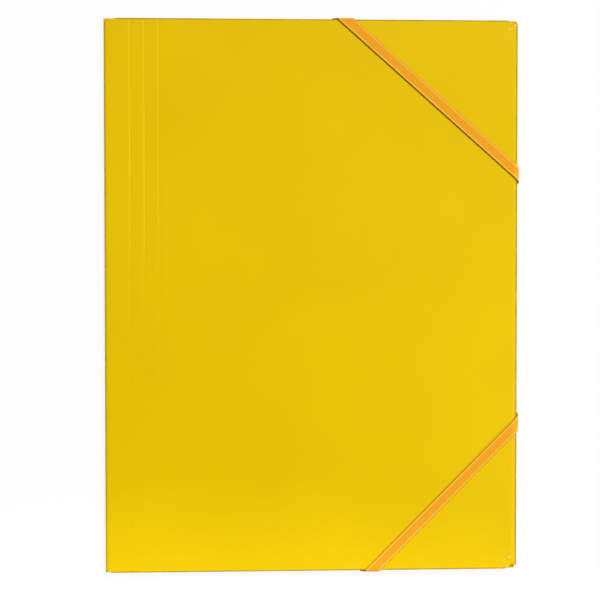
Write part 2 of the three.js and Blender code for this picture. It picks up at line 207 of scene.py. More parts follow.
class FolderStudioSettings(bpy.types.PropertyGroup):
    camera_place: FloatVectorProperty(
        name="Camera place", description="Place of the camera", subtype="TRANSLATION", size=3,
        default=(-0.0527, 0.0223, 0.9))
    camera_turn: FloatVectorProperty(
        name="Camera turn", description="Turn of the camera", subtype="EULER", size=3,
        default=(math.radians(-1.56), math.radians(-2.91), math.radians(-0.04)))
    lens: FloatProperty(
        name="Lens", description="Focal length in millimetres on a sensor 36 mm wide", default=92.8,
        unit="CAMERA")
    floor_size: length_setting("Floor size", "Width of the floor", 6000)
    floor_colour: colour_setting("Floor colour", "Colour of the floor", (0.90, 0.90, 0.90))
    floor_glow: share_setting("Floor glow", "How far the camera sees the floor as plain white", 0.9)
    key_strength: FloatProperty(
        name="Key strength", description="Strength of the distant lamp at the upper right", default=2.63,
        subtype="FACTOR", min=0, max=20)
    right_power: power_setting("Right power", "Power of the lamp on the right", 4.4)
    lower_power: power_setting("Lower power", "Power of the cone over the foot of the page", 64)
    under_power: power_setting("Under power", "Power of the lamp below the floor", 9)


# Surfaces


def sheet_grid(points):
    """Vertices and quads of a surface given as an array of rows by columns by three.

    Each quad joins a point with the next one in its row and the two beside them in the next row.
    """
    rows, columns = points.shape[:2]
    index = np.arange(rows * columns).reshape(rows, columns)
    quads = np.stack([index[:-1, :-1], index[:-1, 1:], index[1:, 1:], index[1:, :-1]], -1)
    return points.reshape(-1, 3), quads.reshape(-1, 4)


def ring_grid(points):
    """As sheet_grid, with each row closed on itself."""
    rows, columns = points.shape[:2]
    index = np.arange(rows * columns).reshape(rows, columns)
    beside = np.roll(index, -1, axis=1)
    quads = np.stack([index[:-1], beside[:-1], beside[1:], index[1:]], -1)
    return points.reshape(-1, 3), quads.reshape(-1, 4)


def new_mesh(name, parts):
    """One mesh object from several pairs of vertices and faces."""
    vertices = np.concatenate([part[0] for part in parts])
    offset = 0
    faces = []
    for points, indices in parts:
        faces.extend((np.asarray(indices) + offset).tolist())
        offset += len(points)
    mesh = bpy.data.meshes.new(name)
    mesh.from_pydata(vertices.tolist(), [], faces)
    mesh.update()
    piece = bpy.data.objects.new(name, mesh)
    bpy.context.scene.collection.objects.link(piece)
    return piece


@contextmanager
def editing(piece):
    """A piece's mesh to work on, which is put back at the end."""
    work = bmesh.new()
    work.from_mesh(piece.data)
    yield work
    work.to_mesh(piece.data)
    work.free()


def weld(piece, distance):
    """Joins the vertices that lie together, so that neighbouring surfaces become one."""
    with editing(piece) as work:
        bmesh.ops.remove_doubles(work, verts=work.verts, dist=distance)


def shade_smooth(piece):
    piece.data.polygons.foreach_set("use_smooth", np.ones(len(piece.data.polygons), bool))


def apply_modifiers(piece):
    """Puts the result of a piece's modifiers into its mesh."""
    graph = bpy.context.evaluated_depsgraph_get()
    mesh = bpy.data.meshes.new_from_object(piece.evaluated_get(graph))
    old = piece.data
    piece.modifiers.clear()
    piece.data = mesh
    bpy.data.meshes.remove(old)
    mesh.name = piece.name


def spread(*stretches):
    """Rising values over several stretches, each given as its start, end and number of steps."""
    values = [np.linspace(start, end, steps + 1) for start, end, steps in stretches]
    return np.unique(np.round(np.concatenate(values), 8))


def arc(x, z, radius, start, end, steps):
    """Points of an arc about a centre, from one angle in degrees to the other."""
    angle = np.radians(np.linspace(start, end, steps + 1))
    return np.stack([x + radius * np.cos(angle), z + radius * np.sin(angle)], -1)


# The folded sheet


class Layers:
    """Levels of the sheet's middle surface in each layer, and the radii of its folds' middle lines."""

    def __init__(self, board):
        half = board.thickness / 2
        step = board.thickness + board.layer_gap
        self.back = BACK_LOW + half
        self.end_flap = self.back + board.thickness / 2 + board.rivet_room + board.layer_gap + half
        self.side_flap = self.end_flap + step
        self.front = FRONT_HIGH - half
        self.spine_radius = (self.front - self.back) / 2
        self.end_radius = (self.end_flap - self.back) / 2
        self.side_radius = (self.side_flap - self.back) / 2
        self.spine_x = LEFT + half + self.spine_radius
        self.side_x = RIGHT - half - self.side_radius
        self.end_y = TOP - half - self.end_radius


def front_edge(board, y):
    """X of the front cover's free edge: its inset grows in a straight line from top to bottom."""
    share = (TOP - y) / (2 * TOP)
    return RIGHT - board.inset_top - share * (board.inset_bottom - board.inset_top)


def crease_places(board):
    return [LEFT + board.crease_offset + i * board.crease_pitch for i in range(board.crease_count)]


def crease_drop(board, x, y):
    """Depth of the creases: one cosine wave across each, and a third as deep below the page's middle."""
    drop = np.zeros_like(x)
    for place in crease_places(board):
        across = np.clip((x - place) / board.crease_width, -1, 1)
        drop += 0.5 + 0.5 * np.cos(math.pi * across)
    share = np.clip(0.5 + y / TOP, 0, 1)
    return board.crease_depth * drop * (1 + 2 * share ** 2 * (3 - 2 * share)) / 3


def relief_limit(x, start, length, depth):
    """Distance that the cut beside the spine takes off the page: depth times (1 - share) squared."""
    share = np.clip((x - start) / length, 0, 1)
    return depth * (1 - share) ** 2


def page_rows(board, layers):
    """Y of the rows that all layers share, with rows at the ends of the flaps' folds."""
    flap_row = TOP - board.side_flap_start
    fold_row = layers.end_y
    return spread((-TOP, -fold_row, 2), (-fold_row, -flap_row, 2), (-flap_row, flap_row, PAGE_STEPS),
                  (flap_row, fold_row, 2), (fold_row, TOP, 2))


def front_surface(board, layers, rows):
    """The front cover as a grid of rows along Y and columns along X.

    The columns run from the spine to the free edge, close together at the creases, and the last ones
    follow the quarter circles of the free corners. Each column's rows are squeezed to its own length:
    y = row / TOP * limit(x), with the limits of the corners and of the cuts beside the spine. The
    surface drops by the creases' depth.
    """
    start = layers.spine_x
    radius = board.corner_radius
    corner = front_edge(board, 0.0) - radius
    first = start + board.relief_length
    stretches = [(start, first, RELIEF_STEPS)]
    at = first
    for place in crease_places(board):
        stretches.append((at, place - board.crease_width, 4))
        stretches.append((place - board.crease_width, place + board.crease_width, CREASE_STEPS))
        at = place + board.crease_width
    stretches.append((at, corner, FRONT_STEPS))
    flat = spread(*stretches)
    angles = np.linspace(0, math.pi / 2, BEND_STEPS + 1)[1:]
    columns = np.concatenate([flat, corner + radius * np.sin(angles)])
    round_off = np.concatenate([np.zeros(len(flat)), radius * (1 - np.cos(angles))])
    upper = TOP - round_off - relief_limit(columns, start, board.relief_length, board.relief_depth)
    lower = TOP - round_off - relief_limit(columns, start, board.low_relief_length, board.low_relief_depth)
    y = np.where(rows[:, None] > 0, upper[None, :], lower[None, :]) * rows[:, None] / TOP
    stretch = (front_edge(board, y) - start) / (front_edge(board, 0.0) - start)
    share = np.clip((columns - corner / 2) / (columns[-1] - corner / 2), 0, 1)[None, :]
    x = columns[None, :] + (stretch - 1) * (columns[None, :] - start) * share
    z = layers.front - crease_drop(board, x, y)
    return np.stack([x, y, z], -1)


def fold_angles(steps):
    return np.linspace(math.pi / 2, -math.pi / 2, steps + 1)


def spine_surface(board, layers, rows):
    """The spine as half a circle from the front cover round to the back.

    The cuts beside the spine run out over the upper half of the bend, as the square of its cosine.
    """
    angle = fold_angles(SPINE_STEPS)
    x = layers.spine_x - layers.spine_radius * np.cos(angle)
    z = layers.back + layers.spine_radius * (1 + np.sin(angle))
    cut = np.clip(np.sin(angle), 0, 1) ** 2
    upper = TOP - board.relief_depth * cut
    lower = TOP - board.low_relief_depth * cut
    y = np.where(rows[:, None] > 0, upper[None, :], lower[None, :]) * rows[:, None] / TOP
    return np.stack([np.broadcast_to(x, y.shape), y, np.broadcast_to(z, y.shape)], -1)


def back_surface(board, layers, rows):
    """The back cover as a flat grid, without the cells that the folds of the flaps take.

    At the bottom of the page its free corner is cut away as well.
    """
    reach = RIGHT - board.end_flap_start
    columns = spread((layers.spine_x, -reach, 4), (-reach, reach, WIDTH_STEPS), (reach, layers.side_x, 4),
                     (layers.side_x, RIGHT, 2))
    x, y = np.meshgrid(columns, rows)
    points = np.stack([x, y, np.full_like(x, layers.back)], -1)
    points[-1, -1, :2] -= CORNER_PULL * board.back_corner_radius
    vertices, quads = sheet_grid(points)
    middle = vertices[quads].mean(1)
    over_end = (np.abs(middle[:, 0]) < reach) & (np.abs(middle[:, 1]) > layers.end_y)
    over_side = (middle[:, 0] > layers.side_x) & (middle[:, 1] < TOP - board.side_flap_start)
    return vertices, quads[~(over_end | over_side)][:, ::-1]


def flap_profile(fold_place, radius, low, depth):
    """Distance out and height along a flap: half a circle up round its fold, then flat to its tip."""
    angle = -fold_angles(BEND_STEPS)
    out = fold_place + radius * np.cos(angle)
    height = low + radius * (1 + np.sin(angle))
    tip = np.linspace(0, 1, 24)[1:]
    return (np.concatenate([out, fold_place - depth * tip]),
            np.concatenate([height, np.full(len(tip), low + 2 * radius)]),
            np.concatenate([np.zeros(len(out)), depth * tip]))


def flap_half_length(run, half_length, depth, taper, radius):
    """Half the flap's length at a distance from its fold: it narrows evenly, and its corners are round."""
    slant = half_length - taper * run / depth
    into = np.clip(run - (depth - radius), 0, radius)
    return slant - (radius - np.sqrt(np.maximum(radius ** 2 - into ** 2, 0)))


def end_flap_surface(board, layers, side):
    """The top or bottom flap: columns along X, squeezed to the flap's length at each distance."""
    half = RIGHT - board.end_flap_start
    depth = board.end_flap_depth - layers.end_radius - board.thickness / 2
    out, height, run = flap_profile(layers.end_y, layers.end_radius, layers.back, depth)
    limit = flap_half_length(run, half, depth, board.end_flap_taper, board.end_flap_radius)
    columns = spread((-half, half, WIDTH_STEPS))
    x = columns[:, None] / half * limit[None, :]
    y = np.broadcast_to(side * out, x.shape)
    z = np.broadcast_to(height, x.shape)
    points, quads = sheet_grid(np.stack([x, y, z], -1))
    return points, quads if side > 0 else quads[:, ::-1]


def side_flap_surface(board, layers, rows):
    """The side flap: the page's rows, squeezed to the flap's length at each distance."""
    half = TOP - board.side_flap_start
    depth = board.side_flap_depth - layers.side_radius - board.thickness / 2
    out, height, run = flap_profile(layers.side_x, layers.side_radius, layers.back, depth)
    limit = flap_half_length(run, half, depth, board.side_flap_taper, board.side_flap_radius)
    inside = rows[np.abs(rows) <= half + 0.01 * MM]
    y = inside[:, None] / half * limit[None, :]
    x = np.broadcast_to(out, y.shape)
    z = np.broadcast_to(height, y.shape)
    points, quads = sheet_grid(np.stack([x, y, z], -1))
    return points, quads[:, ::-1]


def rivet_places():
    """The middle of each rivet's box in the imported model."""
    names = [name for name in sorted(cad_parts) if name.startswith("rivet_")]
    return {name: sum(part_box(name), Vector()) / 2 for name in names}


def cut_holes(piece, places, radius, low, high):
    """Cuts an upright round hole through the piece at each place."""
    angle = np.linspace(0, 2 * math.pi, HOLE_STEPS, endpoint=False)
    circle = np.stack([np.cos(angle), np.sin(angle)], -1) * radius
    cutters = []
    for place in places:
        rows = [np.column_stack([circle + np.array(place[:2]), np.full(len(circle), z)]) for z in (low, high)]
        points, quads = ring_grid(np.stack(rows))
        cutters.append((points, quads))
    cutter = new_mesh("cutter", cutters)
    with editing(cutter) as work:
        bmesh.ops.holes_fill(work, edges=work.edges, sides=0)
        bmesh.ops.recalc_face_normals(work, faces=work.faces)
    cut = piece.modifiers.new("holes", "BOOLEAN")
    cut.operation = "DIFFERENCE"
    cut.solver = "EXACT"
    cut.object = cutter
    apply_modifiers(piece)
    mesh = cutter.data
    bpy.data.objects.remove(cutter)
    bpy.data.meshes.remove(mesh)


def make_cover(board):
    """The one sheet, folded: its middle surface first, then its thickness and the holes for the rivets."""
    layers = Layers(board)
    rows = page_rows(board, layers)
    front, quads = sheet_grid(front_surface(board, layers, rows))
    spine = sheet_grid(spine_surface(board, layers, rows))
    cover = new_mesh("cover_sheet", [
        (front, quads),
        (spine[0], spine[1][:, ::-1]),
        back_surface(board, layers, rows),
        end_flap_surface(board, layers, 1),
        end_flap_surface(board, layers, -1),
        side_flap_surface(board, layers, rows),
    ])
    weld(cover, WELD_DISTANCE)
    cover.data.materials.append(gloss_board_material(board))
    cover.data.materials.append(inner_board_material(board))
    cover.data.materials.append(board_core_material(board))
    shell = cover.modifiers.new("thickness", "SOLIDIFY")
    shell.thickness = board.thickness
    shell.offset = 0
    shell.use_even_offset = True
    shell.material_offset = 1
    shell.material_offset_rim = 2
    bevel = cover.modifiers.new("cut edges", "BEVEL")
    bevel.width = board.edge_bevel
    bevel.segments = 2
    bevel.limit_method = "ANGLE"
    bevel.angle_limit = math.radians(60)
    bevel.material = 2
    apply_modifiers(cover)
    cut_holes(cover, rivet_places().values(), board.hole_radius, 0, BACK_LOW + 2 * board.thickness)
    shade_by_angle(cover)
    return cover


def shade_by_angle(piece, degrees=35):
    """Smooth shading, apart from edges that turn by more than an angle."""
    shade_smooth(piece)
    limit = math.radians(degrees)
    with editing(piece) as work:
        for edge in work.edges:
            edge.smooth = len(edge.link_faces) == 2 and edge.calc_face_angle(0) < limit


# The elastic bands


class Belt:
    """The way of a band round one edge of the folder, as a belt round two pulleys.

    The upper pulley lies just inside the front cover's edge, and the lower one is the fold below it.
    A distance is measured from where the band leaves the front cover's face.
    """

    def __init__(self, bands, cover_edge, fold_edge, fold_radius):
        inset = bands.clearance
        self.upper = (cover_edge - inset, FRONT_HIGH - inset, 2 * inset)
        self.lower = (fold_edge - fold_radius, BACK_LOW + fold_radius, fold_radius + inset)
        run = self.lower[0] - self.upper[0]
        fall = self.lower[1] - self.upper[1]
        span = math.hypot(run, fall)
        wider = self.upper[2] - self.lower[2]
        self.lean = math.atan2(fall, run) + math.acos(wider / span)
        self.on_upper = self.upper[2] * (math.pi / 2 - self.lean)
        self.straight = math.sqrt(span ** 2 - wider ** 2)
        self.total = self.on_upper + self.straight + self.lower[2] * (self.lean + math.pi / 2)
        self.start = self.upper[0]
        self.rivet = self.start + self.total + bands.rivet_distance - fold_radius

    def at(self, distance):
        """Place out from the middle, height and outward angle at each distance.

        The angle falls from upright to the lean on the upper pulley, and on to straight down on the
        lower one. The place is the pulley's centre plus its radius along the angle, with straight runs
        before, between and after.
        """
        past = distance - self.on_upper - self.straight
        angle = np.where(distance < self.on_upper, math.pi / 2 - distance / self.upper[2], self.lean)
        angle = np.where(past > 0, self.lean - past / self.lower[2], angle)
        angle = np.clip(angle, -math.pi / 2, math.pi / 2)
        low = past > 0
        centre_x = np.where(low, self.lower[0], self.upper[0])
        centre_z = np.where(low, self.lower[1], self.upper[1])
        radius = np.where(low, self.lower[2], self.upper[2])
        between = np.clip(distance - self.on_upper, 0, self.straight) * ~low
        ahead = np.minimum(distance, 0) - np.maximum(distance - self.total, 0)
        out = centre_x + radius * np.cos(angle) + between * math.sin(self.lean) + ahead
        height = centre_z + radius * np.sin(angle) - between * math.cos(self.lean)
        return out, height, angle


class BandLine:
    """A band's straight line on the unfolded page. side is 1 at the top of the page and -1 at its bottom."""

    def __init__(self, board, bands, side, along_end, along_side):
        layers = Layers(board)
        half = board.thickness / 2
        self.side = side
        self.start = np.array([RIGHT - along_end, TOP])
        finish = np.array([RIGHT, TOP - along_side])
        self.way = (finish - self.start) / np.linalg.norm(finish - self.start)
        self.across = np.array([-self.way[1], self.way[0]])
        self.end_belt = Belt(bands, TOP, TOP, layers.end_radius + half)
        edge = front_edge(board, side * finish[1])
        self.side_belt = Belt(bands, edge, RIGHT, layers.side_radius + half)
        self.end_rivet = (self.end_belt.rivet - self.start[1]) / self.way[1]
        self.side_rivet = (self.side_belt.rivet - self.start[0]) / self.way[0]

    def place(self, along, across, up):
        """Where points of the unfolded band lie on the folder, each raised from its inner face by up."""
        flat = self.start + along[..., None] * self.way + across[..., None] * self.across
        beyond = flat[..., 0] > self.side_belt.start
        end_out, end_z, end_angle = self.end_belt.at(flat[..., 1] - self.end_belt.start)
        side_out, side_z, side_angle = self.side_belt.at(flat[..., 0] - self.side_belt.start)
        angle = np.where(beyond, side_angle, end_angle)
        out = np.where(beyond, side_out, end_out) + up * np.cos(angle)
        z = np.where(beyond, side_z, end_z) + up * np.sin(angle)
        x = np.where(beyond, out, flat[..., 0])
        y = np.where(beyond, flat[..., 1], out)
        return np.stack([x, self.side * y, z], -1)


def band_section(bands):
    """The band's outline as places across it and heights above its inner face, and the share of relief.

    The inner face is flat, each side is half a circle, and the outer face carries the relief.
    """
    half = bands.width / 2
    bend = bands.thickness / 2
    face = np.linspace(half - bend, bend - half, 8 * bands.ribs + 1)
    inner = np.linspace(bend - half, half - bend, 9)
    edge = arc(half - bend, bend, bend, -60, 60, 4)
    outline = np.concatenate([
        edge,
        np.stack([face, np.full(len(face), 2 * bend)], -1),
        arc(bend - half, bend, bend, 120, 240, 4),
        np.stack([inner, np.zeros(len(inner))], -1),
    ])
    relief = np.zeros(len(outline))
    relief[len(edge) + 1:len(edge) + len(face) - 1] = 1
    return outline[:, 0], outline[:, 1], relief


def band_relief(bands, along, across):
    """Depth of the woven face: grooves between the ribs, and stitches that alternate from rib to rib.

    The grooves are the square of a cosine across the band. The stitches are a sine along the band, and
    half a stitch later on every other rib.
    """
    rib = (across / (bands.width - bands.thickness) + 0.5) * bands.ribs
    groove = bands.rib_depth * np.cos(math.pi * rib) ** 2
    phase = math.pi * np.floor(rib)
    crown = np.sin(math.pi * rib) ** 2
    stitch = bands.weave_depth * crown * (0.5 + 0.5 * np.sin(2 * math.pi * along / bands.weave_pitch + phase))
    return groove + stitch


def make_band(name, bands, line):
    """A flat elastic strap: its section carried along its line from one end to the other."""
    first = line.end_rivet - bands.overhang
    last = line.side_rivet + bands.overhang
    rows = int((last - first) / (bands.weave_pitch / 4))
    along = np.linspace(first, last, rows + 1)[:, None]
    across, height, relief = (values[None, :] for values in band_section(bands))
    along, across = np.broadcast_arrays(along, across)
    up = height - relief * band_relief(bands, along, across)
    points, quads = ring_grid(line.place(along, across, up))
    columns = across.shape[1]
    caps = [np.arange(columns)[::-1].tolist(), (np.arange(columns) + rows * columns).tolist()]
    band = new_mesh(name, [(points, quads)])
    with editing(band) as work:
        work.verts.ensure_lookup_table()
        for cap in caps:
            work.faces.new([work.verts[i] for i in cap])
        if line.side > 0:
            bmesh.ops.reverse_faces(work, faces=work.faces)
    set_band_map(band.data, along.ravel(), across.ravel())
    return band


def set_band_map(mesh, along, across):
    """A map in metres: across the band and along it."""
    corners = np.empty(len(mesh.loops), np.int32)
    mesh.loops.foreach_get("vertex_index", corners)
    layer = mesh.uv_layers.new(name="weave")
    layer.data.foreach_set("uv", np.stack([across[corners], along[corners]], -1).ravel())


# The rivets


def make_rivet(name, rivets, board, place):
    """A hollow rivet turned about its axis: head below the band, shank, and a rim rolled over inside.

    The profile runs round the metal, with quarter circles at the head's mouth and edge and half a
    circle at the rim's edge.
    """
    head = rivets.head_thickness
    rim_low = BACK_LOW + board.thickness + rivets.rim_clearance
    half = rivets.rim_thickness / 2
    profile = np.concatenate([
        arc(rivets.bore_radius + head, head, head, 180, 270, QUARTER_STEPS),
        arc(rivets.head_radius - head / 2, head / 2, head / 2, -90, 0, QUARTER_STEPS),
        [[rivets.head_radius, head], [rivets.shank_radius, head], [rivets.shank_radius, rim_low]],
        arc(rivets.rim_radius - half, rim_low + half, half, -90, 90, RIM_STEPS),
        arc(rivets.bore_radius + half, rim_low + half, half, 90, 180, QUARTER_STEPS),
    ])
    angle = np.linspace(0, 2 * math.pi, RIVET_STEPS, endpoint=False)
    radius = profile[:, 0][None, :]
    x = place.x + radius * np.cos(angle)[:, None]
    y = place.y + radius * np.sin(angle)[:, None]
    z = np.broadcast_to(profile[:, 1][None, :], x.shape)
    points = np.stack([x, y, z], -1)
    rivet = new_mesh(name, [ring_grid(np.concatenate([points, points[:1]]))])
    weld(rivet, 0.001 * MM)
    shade_by_angle(rivet, 50)
    return rivet


# Materials


class Tree:
    """Short forms for the nodes of a material, of a node group or of the surround."""

    def __init__(self, tree):
        self.nodes = tree.nodes
        self.links = tree.links

    def fill(self, node, inputs):
        """Links other nodes' outputs to a node's inputs, or sets the inputs to values."""
        for key, value in inputs.items():
            socket = node.inputs[key]
            if isinstance(value, bpy.types.NodeSocket):
                self.links.new(value, socket)
            elif socket.type == "RGBA":
                socket.default_value = (*value, 1)
            else:
                socket.default_value = value

    def add(self, kind, inputs=None, **options):
        """A new node with its options and inputs."""
        node = self.nodes.new("ShaderNode" + kind)
        for name, value in options.items():
            setattr(node, name, value)
        self.fill(node, inputs or {})
        return node

    def place(self):
        return self.add("TexCoord").outputs["Object"]

    def parts(self, place):
        return self.add("SeparateXYZ", {0: place}).outputs

    def math(self, operation, first, second=0.0):
        return self.add("Math", {0: first, 1: second}, operation=operation).outputs[0]

    def noise(self, place, scale, detail=3.0):
        return self.add("TexNoise", {"Vector": place, "Scale": scale, "Detail": detail}).outputs["Fac"]

    def mix(self, share, first, second):
        """The first colour, or the second where the share is one."""
        return self.add("Mix", {0: share, 6: first, 7: second}, data_type="RGBA").outputs[2]

    def remap(self, value, low, high, new_low, new_high):
        return self.add("MapRange", {"Value": value, "From Min": low, "From Max": high,
                                     "To Min": new_low, "To Max": new_high}).outputs["Result"]

    def bump(self, height, strength, distance):
        return self.add("Bump", {"Height": height, "Strength": strength,
                                 "Distance": distance}).outputs["Normal"]

    def group(self, group, inputs):
        return self.add("Group", inputs, node_tree=group).outputs

    def mix_shaders(self, share, first, second):
        return self.add("MixShader", {0: share, 1: first.outputs[0], 2: second.outputs[0]})


def new_material(name):
    """A material, its nodes and its shader."""
    material = bpy.data.materials.new(name)
    material.use_nodes = True
    tree = Tree(material.node_tree)
    return material, tree, next(node for node in tree.nodes if node.type == "BSDF_PRINCIPLED")


def new_group(name, sizes, outputs):
    """A node group that takes a place and some sizes, and puts out values."""
    group = bpy.data.node_groups.new(name, "ShaderNodeTree")
    group.interface.new_socket("Place", in_out="INPUT", socket_type="NodeSocketVector")
    for label, size in sizes.items():
        socket = group.interface.new_socket(label, in_out="INPUT", socket_type="NodeSocketFloat")
        socket.default_value = size
    for label in outputs:
        group.interface.new_socket(label, in_out="OUTPUT", socket_type="NodeSocketFloat")
    entry = group.nodes.new("NodeGroupInput").outputs
    return group, Tree(group), entry, group.nodes.new("NodeGroupOutput")


def shade(colour, share):
    return [min(1.0, part * share) for part in colour]


def paper_group():
    """Paper grain: long fibres that lie every way, and slow clouds."""
    name = "Paper grain"
    if name in bpy.data.node_groups:
        return bpy.data.node_groups[name]
    sizes = {"Grain scale": 1500.0, "Cloud scale": 12.0}
    group, tree, entry, out = new_group(name, sizes, ("Fibres", "Clouds"))
    fibres = tree.add("TexNoise", {"Vector": entry["Place"], "Scale": entry["Grain scale"],
                                   "Detail": 4.0, "Roughness": 0.65, "Distortion": 0.8})
    clouds = tree.noise(entry["Place"], entry["Cloud scale"], 2.0)
    tree.fill(out, {"Fibres": fibres.outputs["Fac"], "Clouds": clouds})
    return group


def edge_shade_group():
    """Painted shade on the page's top, bottom and free edges, full on the outer half of its width, and
    uneven.

    The distance in from an edge is divided by the shade's width, and the two nearest edges' shades
    give the larger of both.
    """
    name = "Soiled edges"
    if name in bpy.data.node_groups:
        return bpy.data.node_groups[name]
    group, tree, entry, out = new_group(name, {"Side width": 1.5 * MM, "End width": 0.8 * MM}, ("Soil",))
    parts = tree.parts(entry["Place"])
    along = tree.math("ABSOLUTE", parts["Y"])
    edge_shade = 0.0
    for out_to, edge, width in ((parts["X"], RIGHT, entry["Side width"]), (along, TOP, entry["End width"])):
        inside = tree.math("DIVIDE", tree.math("SUBTRACT", edge, out_to), width)
        edge_shade = tree.math("MAXIMUM", tree.remap(inside, 0.5, 1.0, 1.0, 0.0), edge_shade)
    patches = tree.remap(tree.noise(entry["Place"], 90.0), 0.3, 0.6, 0.65, 1.0)
    tree.fill(out, {"Soil": tree.math("MULTIPLY", edge_shade, patches)})
    return group


def edge_shade_mask(tree, board, place):
    widths = {"Place": place, "Side width": board.side_edge_shade_width, "End width": board.edge_shade_width}
    return tree.group(edge_shade_group(), widths)["Soil"]


def crease_highlight_mask(tree, board, place):
    """Painted highlight: one on the middle line of the first crease, less on each further one, broken into
    patches.

    It falls to nothing half a millimetre away, and almost to nothing in the page's lower half.
    """
    parts = tree.parts(place)
    total = 0.0
    for i, x in enumerate(crease_places(board)):
        away = tree.math("ABSOLUTE", tree.math("SUBTRACT", parts["X"], x))
        total = tree.math("ADD", total, tree.remap(away, 0.15 * MM, 0.5 * MM, 1 - 0.2 * i, 0.0))
    patches = tree.remap(tree.noise(place, 22.0), 0.32, 0.5, 0.3, 1.0)
    upper = tree.remap(parts["Y"], TOP * 0.1, TOP * 0.28, 0.05, 1.0)
    return tree.math("MULTIPLY", total, tree.math("MULTIPLY", patches, upper))


def glint_mask(tree, place):
    """Small pale flecks of painted glint, only near the free corners of the page."""
    parts = tree.parts(place)
    near_side = tree.remap(parts["X"], RIGHT - 9 * MM, RIGHT - 5 * MM, 0.0, 1.0)
    near_end = tree.remap(tree.math("ABSOLUTE", parts["Y"]), TOP - 12 * MM, TOP - 6 * MM, 0.0, 1.0)
    flecks = tree.remap(tree.noise(place, 520.0, 2.0), 0.655, 0.72, 0.0, 1.0)
    return tree.math("MULTIPLY", tree.math("MULTIPLY", near_side, near_end), flecks)


def gloss_board_material(board):
    """Glossy coated board: even yellow with faint clouds and fine grain, painted crease highlights, glints
    and edge shade.
    """
    material, tree, shader = new_material("glossy board")
    place = tree.place()
    grain = tree.group(paper_group(), {"Place": place, "Grain scale": 1400.0, "Cloud scale": 14.0})
    colour = tree.mix(tree.remap(grain["Clouds"], 0.3, 0.7, 0.0, 1.0),
                      shade(board.gloss_colour, 0.975), shade(board.gloss_colour, 1.025))
    colour = tree.mix(tree.remap(grain["Fibres"], 0.3, 0.8, 0.0, 0.12), colour,
                      shade(board.gloss_colour, 0.8))
    # Painted highlight on the creases, painted glints near the free corners and painted shade along the edges
    marks = (
        (crease_highlight_mask(tree, board, place), board.crease_highlight, board.crease_highlight_colour),
        (glint_mask(tree, place), board.glints, board.glint_colour),
        (edge_shade_mask(tree, board, place), board.edge_shade, board.edge_shade_colour),
    )
    for mask, strength, mark in marks:
        colour = tree.mix(tree.math("MULTIPLY", mask, strength), colour, mark)
    tree.fill(shader, {"Base Color": colour, "Specular IOR Level": board.gloss,
                       "Roughness": tree.remap(grain["Fibres"], 0.3, 0.7, 0.30, 0.36),
                       "Normal": tree.bump(grain["Fibres"], 0.12, 0.02 * MM)})
    return material


def inner_board_material(board):
    """The uncoated inside of the board: the same yellow, matt and fibrous."""
    material, tree, shader = new_material("inner board")
    grain = tree.group(paper_group(), {"Place": tree.place(), "Grain scale": 900.0, "Cloud scale": 30.0})
    colour = tree.mix(tree.remap(grain["Fibres"], 0.25, 0.75, 0.0, 1.0),
                      shade(board.inner_colour, 0.86), board.inner_colour)
    tree.fill(shader, {"Base Color": colour, "Roughness": 0.85, "Specular IOR Level": 0.25,
                       "Normal": tree.bump(grain["Fibres"], 0.3, 0.05 * MM)})
    return material


def board_core_material(board):
    """Cut edges of the board: dyed pulp in fine layers, lighter than the board as a painted highlight, with
    painted edge shade.
    """
    material, tree, shader = new_material("board core")
    place = tree.place()
    grain = tree.group(paper_group(), {"Place": place, "Grain scale": 2500.0, "Cloud scale": 90.0})
    colour = tree.mix(tree.remap(grain["Clouds"], 0.35, 0.65, 0.0, 1.0),
                      shade(board.core_and_highlight_colour, 0.8), board.core_and_highlight_colour)
    # Painted shade along the page's top, bottom and right-hand edges, as on the glossy face
    colour = tree.mix(edge_shade_mask(tree, board, place), colour, board.edge_shade_colour)
    tree.fill(shader, {"Base Color": colour, "Roughness": 0.9, "Specular IOR Level": 0.2,
                       "Normal": tree.bump(grain["Fibres"], 0.4, 0.05 * MM)})
    return material


def elastic_material(bands):
    """Woven elastic: orange, with pale stripes along its edges, painted shade in the grooves between the
    threads and painted shadow at its rims.

    The grooves are the cube of a cosine across the band, where the mesh has its own.
    """
    material, tree, shader = new_material("elastic")
    weave = tree.add("UVMap", uv_map="weave").outputs[0]
    across = tree.parts(weave)["X"]
    away = tree.math("ABSOLUTE", across)
    half = bands.width / 2
    stripe = tree.remap(away, half - 1.5 * MM, half - 0.9 * MM, 0.0, 1.0)
    inside = tree.remap(away, half - 0.35 * MM, half - 0.1 * MM, 1.0, 0.0)
    colour = tree.mix(tree.math("MULTIPLY", stripe, inside), bands.colour, bands.edge_colour)
    turn = math.pi * bands.ribs
    rib = tree.math("MULTIPLY", across, turn / (bands.width - bands.thickness))
    wave = tree.math("ABSOLUTE", tree.math("COSINE", tree.math("ADD", rib, turn / 2)))
    # Painted shade in the grooves between the ribs
    groove = tree.math("MULTIPLY", tree.math("POWER", wave, 3.0), bands.groove_shade)
    threads = tree.noise(weave, 2600.0, 2.0)
    dark = tree.math("ADD", groove, tree.remap(threads, 0.35, 0.75, 0.0, 0.12))
    colour = tree.mix(dark, colour, shade(bands.colour, 0.55))
    # Painted shadow along the band's rims, in their outer third of a millimetre
    edge_shadow = tree.remap(away, half - 0.35 * MM, half - 0.05 * MM, 0.0, 1.0)
    colour = tree.mix(edge_shadow, colour, shade(bands.colour, 0.6))
    tree.fill(shader, {"Base Color": colour, "Roughness": 0.75, "Specular IOR Level": 0.12,
                       "Normal": tree.bump(threads, 0.4, 0.04 * MM)})
    return material


